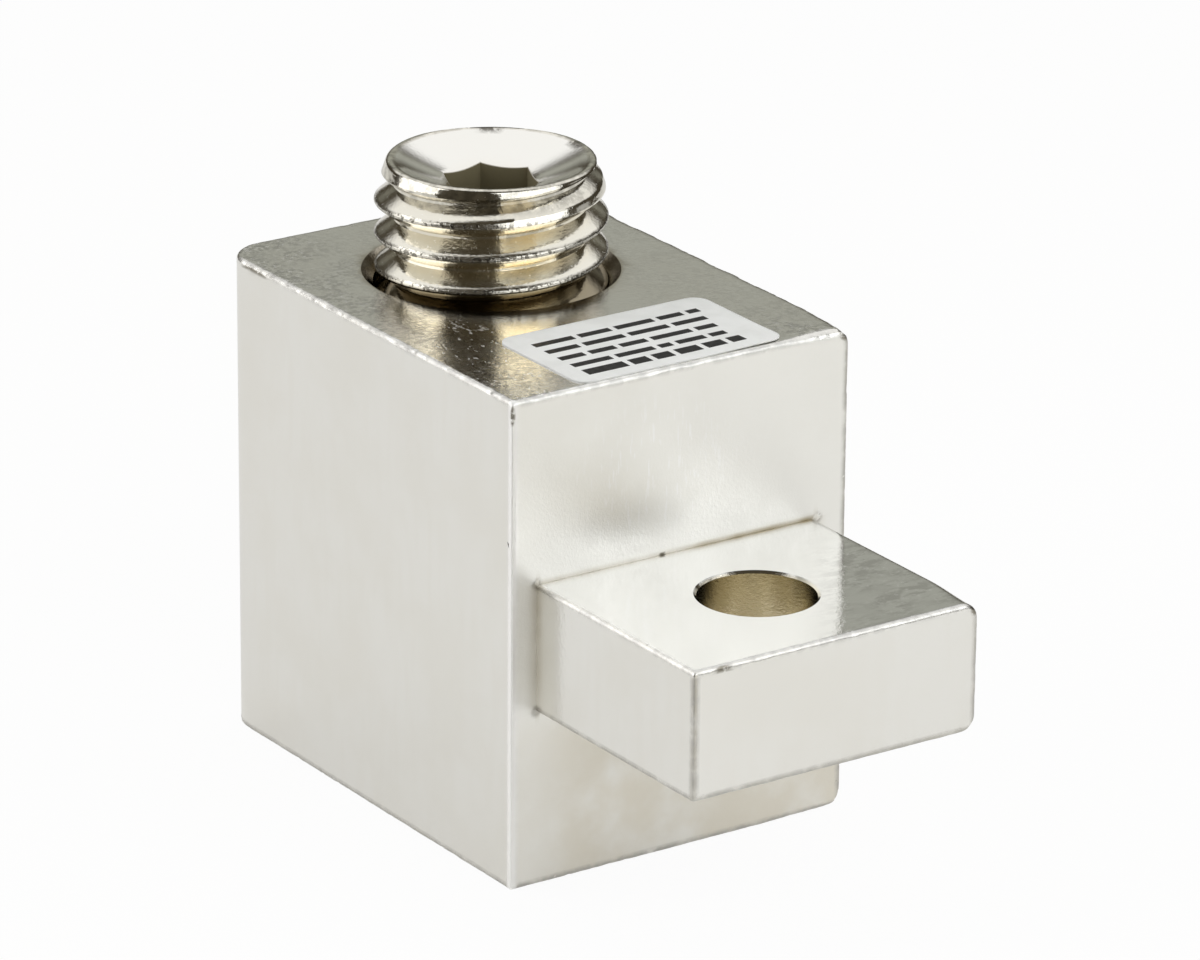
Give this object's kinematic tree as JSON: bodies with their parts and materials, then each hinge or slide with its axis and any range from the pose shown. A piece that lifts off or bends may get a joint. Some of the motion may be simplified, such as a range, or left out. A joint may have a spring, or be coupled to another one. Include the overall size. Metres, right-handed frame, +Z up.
{
  "type": "mechanical lug",
  "caption": "Plated block lug with a blind cable bore, a hollow-hex clamping screw and a drilled bolt-on palm, for ending a heavy conductor on a switch terminal.",
  "frame": {"origin": "on the axis of the palm's bolt hole, halfway through the palm's thickness", "axes": "+X out along the palm, away from the block; +Y across the palm; +Z up, the way the clamping screw backs out"},
  "size_m": [0.075, 0.037, 0.0584],
  "materials": {
    "body_plate": "satin tin plate, lightly handled",
    "screw_plate": "bright tin plate, burred along the thread",
    "label_film": "white film with plain dark bars"
  },
  "bodies": {
    "lug": {"clamp_body": "body_plate", "label": "label_film"},
    "screw": {"clamping_screw": "screw_plate"}
  },
  "joints": [
    {"name": "screw_travel", "type": "slide", "parent": "lug", "child": "screw", "axis": [0, 0, 1], "range_m": [-0.016, 0.0096]}
  ]
}
